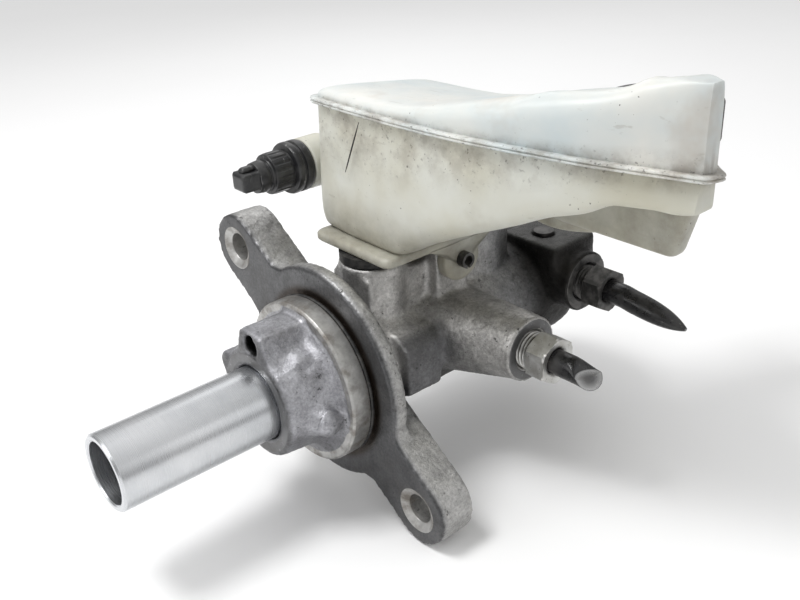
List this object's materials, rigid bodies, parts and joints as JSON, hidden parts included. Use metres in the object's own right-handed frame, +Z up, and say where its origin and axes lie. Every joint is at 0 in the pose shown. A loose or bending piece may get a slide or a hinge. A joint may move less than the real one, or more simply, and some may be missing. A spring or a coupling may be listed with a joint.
{
  "type": "brake master cylinder",
  "caption": "Tandem brake master cylinder with a two-ear flange, hollow piston, moulded fluid reservoir, level sensor, filler cap and two cut brake pipes.",
  "frame": {"origin": "centre of the flange face that bolts to the brake booster, on the bore axis", "axes": "+X along the bore into the cylinder, +Z up to the reservoir, -Y towards the brake pipes"},
  "size_m": [0.1869, 0.1505, 0.1338],
  "materials": {
    "cast_aluminium": "rough cast, with machined faces",
    "bright_aluminium": "turned and polished",
    "zinc_steel": "zinc plated",
    "dark_steel": "blackened",
    "pipe_coat": "black coat over steel",
    "milky_plastic": "translucent, soiled",
    "black_plastic": "satin",
    "white_plastic": "satin",
    "rubber": "soft",
    "spring_steel": "drawn wire",
    "magnet": "sintered"
  },
  "bodies": {
    "housing": {"cylinder_body": "cast_aluminium", "guide_bush": "black_plastic", "primary_outer_seal": "rubber", "primary_pressure_seal": "rubber", "spigot_o_ring": "rubber", "stop_pin": "dark_steel", "boss_plug": "zinc_steel", "primary_grommet": "rubber", "floating_grommet": "rubber", "reservoir_lower": "milky_plastic", "reservoir_upper": "milky_plastic", "reservoir_pin": "dark_steel", "level_sensor": "black_plastic", "sensor_seal": "rubber", "filler_strainer": "white_plastic", "tube_nut_front": "zinc_steel", "tube_nut_rear": "dark_steel", "brake_pipe_front": "pipe_coat", "brake_pipe_rear": "pipe_coat"},
    "primary": {"primary_piston": "bright_aluminium", "spring_sleeve": "zinc_steel", "primary_spring": "spring_steel"},
    "floating": {"floating_piston": "bright_aluminium", "captive_screw": "zinc_steel", "floating_rear_seal": "rubber", "floating_front_seal": "rubber", "floating_spring": "spring_steel"},
    "cap_liner": {"cap_gasket": "rubber"},
    "cap": {"filler_cap": "black_plastic"},
    "float": {"level_float": "white_plastic", "float_magnet": "magnet"}
  },
  "joints": [
    {"name": "primary_stroke", "type": "slide", "parent": "housing", "child": "primary", "axis": [1, 0, 0], "range_m": [0, 0.024], "stiffness_N_per_m": 1500, "springref_m": -0.03, "deforming": ["primary_spring"]},
    {"name": "floating_stroke", "type": "slide", "parent": "housing", "child": "floating", "axis": [1, 0, 0], "range_m": [0, 0.012], "stiffness_N_per_m": 1500, "springref_m": -0.02, "deforming": ["floating_spring"]},
    {"name": "cap_lift", "type": "slide", "parent": "housing", "child": "cap_liner", "axis": [0, 0, 1], "range_m": [0, 0.006]},
    {"name": "cap_turn", "type": "hinge", "parent": "cap_liner", "child": "cap", "pos_m": [0.0985, -0.045, 0.0675], "axis": [0, 0, 1], "range_deg": [0, 540]},
    {"name": "float_rise", "type": "slide", "parent": "housing", "child": "float", "axis": [0, 0, 1], "range_m": [0, 0.016]}
  ],
  "couplings": [
    {"joint": "floating_stroke", "follows": "primary_stroke", "ratio": 0.5},
    {"joint": "cap_lift", "follows": "cap_turn", "m_per_rad": 0.00063662}
  ]
}
